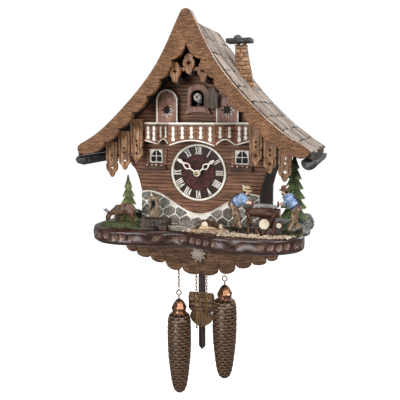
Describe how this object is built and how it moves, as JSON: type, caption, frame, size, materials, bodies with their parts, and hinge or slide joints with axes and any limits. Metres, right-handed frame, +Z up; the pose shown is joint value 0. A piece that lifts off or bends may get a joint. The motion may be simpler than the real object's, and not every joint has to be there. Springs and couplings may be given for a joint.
{
  "type": "cuckoo clock",
  "caption": "Wall-hung chalet cuckoo clock with a carved gable, dial, balcony, woodland scene, pendulum and pine-cone weights.",
  "frame": {"origin": "point on the back panel's flat back face, on the centre plane, below the nail hole", "axes": "+Y out of the back face into the wall, +Z up, +X to the right of someone facing the dial"},
  "size_m": [0.334, 0.1852, 0.5518],
  "materials": {
    "gable_wood": "carved, satin lacquer",
    "plank_wood": "grooved planks, satin lacquer",
    "dark_wood": "dark stain",
    "shingle": "bleached, grey-brown",
    "base_wood": "dark red-brown gloss lacquer",
    "trim_wood": "carved, satin lacquer",
    "brick": "painted as brick",
    "slate": "dark grey paint",
    "cream": "cream, satin",
    "stone": "speckled stone with cream joints",
    "dial_face": "dark red-black",
    "steel": "plain",
    "brass": "polished, aged",
    "bronze": "bronze-coloured metallic paint",
    "black_plastic": "moulded",
    "battery_wrap": "printed wrap, plain",
    "foliage": "painted green with lighter tips",
    "deer_brown": "painted",
    "figure_cloth": "painted",
    "bird_white": "painted"
  },
  "bodies": {
    "case": {"back_panel": "plank_wood", "hanger_plate": "steel", "side_wall_left": "plank_wood", "side_wall_right": "plank_wood", "facade": "plank_wood", "stone_wall": "stone", "gable_board": "gable_wood", "roof_left": "shingle", "roof_right": "shingle", "eave_log_left": "slate", "eave_log_right": "slate", "chimney": "brick", "chimney_cap": "slate", "apex_boards": "gable_wood", "eave_boards_left": "gable_wood", "eave_boards_right": "gable_wood", "balcony_front": "trim_wood", "balcony_floor": "dark_wood", "balcony_door_left": "trim_wood", "balcony_door_right": "trim_wood", "cuckoo_frame": "trim_wood", "window_left": "dark_wood", "window_right": "dark_wood", "dial": "dial_face", "dial_ring": "cream", "landscape_base": "base_wood", "leaf_apron": "trim_wood", "edelweiss": "trim_wood", "tree_left": "foliage", "tree_right": "foliage", "deer": "deer_brown", "water_trough": "base_wood", "sawbuck_with_logs": "base_wood", "wood_pile": "base_wood", "movement_case": "black_plastic", "battery": "battery_wrap", "sound_box": "black_plastic", "pendulum_drive": "black_plastic", "chain_rail": "plank_wood"},
    "back_door": {"back_door": "plank_wood"},
    "cuckoo_door": {"cuckoo_door": "trim_wood"},
    "cuckoo": {"cuckoo_bird": "bird_white", "cuckoo_slide": "black_plastic"},
    "minute": {"minute_hand": "cream", "hand_nut": "brass"},
    "hour": {"hour_hand": "cream"},
    "setting_knob": {"setting_knob": "black_plastic"},
    "battery_lid": {"battery_lid": "black_plastic"},
    "volume_switch": {"volume_switch": "black_plastic"},
    "pendulum": {"pendulum_rod": "base_wood"},
    "bob": {"pendulum_bob": "trim_wood"},
    "chain_left": {"weight_chain_left": "brass"},
    "chain_right": {"weight_chain_right": "brass"},
    "weight_left": {"weight_left": "bronze"},
    "weight_right": {"weight_right": "bronze"},
    "tail_left": {"chain_tail_left": "brass"},
    "tail_right": {"chain_tail_right": "brass"},
    "sawyer_left": {"sawyer_left": "figure_cloth"},
    "sawyer_right": {"sawyer_right": "figure_cloth"},
    "saw": {"saw": "steel"}
  },
  "joints": [
    {"name": "back_door_hinge", "type": "hinge", "parent": "case", "child": "back_door", "pos_m": [-0.0516, 0, -0.13], "axis": [0, 0, 1], "range_deg": [0, 110]},
    {"name": "cuckoo_slide", "type": "slide", "parent": "case", "child": "cuckoo", "axis": [0, -1, 0], "range_m": [-0.028, 0]},
    {"name": "cuckoo_door_hinge", "type": "hinge", "parent": "case", "child": "cuckoo_door", "pos_m": [0.0116, -0.119, -0.0275], "axis": [0, 0, 1], "range_deg": [-155, 0]},
    {"name": "minute_spin", "type": "hinge", "parent": "case", "child": "minute", "pos_m": [0, -0.114, -0.13], "axis": [0, 1, 0], "continuous": true},
    {"name": "hour_spin", "type": "hinge", "parent": "case", "child": "hour", "pos_m": [0, -0.114, -0.13], "axis": [0, 1, 0], "continuous": true},
    {"name": "setting_knob_spin", "type": "hinge", "parent": "case", "child": "setting_knob", "pos_m": [0, -0.0786, -0.121], "axis": [0, 1, 0], "continuous": true},
    {"name": "battery_lid_slide", "type": "slide", "parent": "case", "child": "battery_lid", "axis": [1, 0, 0], "range_m": [0, 0.025]},
    {"name": "volume_slide", "type": "slide", "parent": "case", "child": "volume_switch", "axis": [0, 0, 1], "range_m": [-0.005, 0.006]},
    {"name": "pendulum_swing", "type": "hinge", "parent": "case", "child": "pendulum", "pos_m": [-0.0065, -0.0763, -0.1885], "axis": [0, 1, 0], "range_deg": [-4, 4]},
    {"name": "bob_slide", "type": "slide", "parent": "pendulum", "child": "bob", "axis": [0, 0, 1], "range_m": [-0.01, 0.01]},
    {"name": "chain_left_swing", "type": "hinge", "parent": "case", "child": "chain_left", "pos_m": [-0.035, -0.1005, -0.198], "axis": [0, 1, 0], "range_deg": [-2, 8]},
    {"name": "weight_left_swing", "type": "hinge", "parent": "chain_left", "child": "weight_left", "pos_m": [-0.035, -0.1005, -0.3064], "axis": [0, 1, 0], "range_deg": [-1, 10]},
    {"name": "tail_left_swing", "type": "hinge", "parent": "case", "child": "tail_left", "pos_m": [-0.0077, -0.1005, -0.198], "axis": [0, 1, 0], "range_deg": [-1.5, 1.5]},
    {"name": "chain_right_swing", "type": "hinge", "parent": "case", "child": "chain_right", "pos_m": [0.035, -0.1005, -0.198], "axis": [0, -1, 0], "range_deg": [-2, 8]},
    {"name": "weight_right_swing", "type": "hinge", "parent": "chain_right", "child": "weight_right", "pos_m": [0.035, -0.1005, -0.2792], "axis": [0, -1, 0], "range_deg": [-1, 10]},
    {"name": "tail_right_swing", "type": "hinge", "parent": "case", "child": "tail_right", "pos_m": [0.0077, -0.1005, -0.198], "axis": [0, -1, 0], "range_deg": [-1.5, 1.5]},
    {"name": "sawyer_left_rock", "type": "hinge", "parent": "case", "child": "sawyer_left", "pos_m": [0.064, -0.15, -0.2038], "axis": [0, 1, 0], "range_deg": [-4, 4]},
    {"name": "sawyer_right_rock", "type": "hinge", "parent": "case", "child": "sawyer_right", "pos_m": [0.139, -0.146, -0.2038], "axis": [0, 1, 0], "range_deg": [-4, 4]},
    {"name": "saw_slide", "type": "slide", "parent": "case", "child": "saw", "axis": [1, 0, 0], "range_m": [-0.0028, 0.0028]}
  ],
  "couplings": [
    {"joint": "cuckoo_door_hinge", "follows": "cuckoo_slide", "rad_per_m": 96.6},
    {"joint": "hour_spin", "follows": "minute_spin", "ratio": 0.083333},
    {"joint": "setting_knob_spin", "follows": "minute_spin", "ratio": -0.33333},
    {"joint": "sawyer_right_rock", "follows": "sawyer_left_rock", "ratio": 1},
    {"joint": "saw_slide", "follows": "sawyer_left_rock", "m_per_rad": 0.0395}
  ]
}
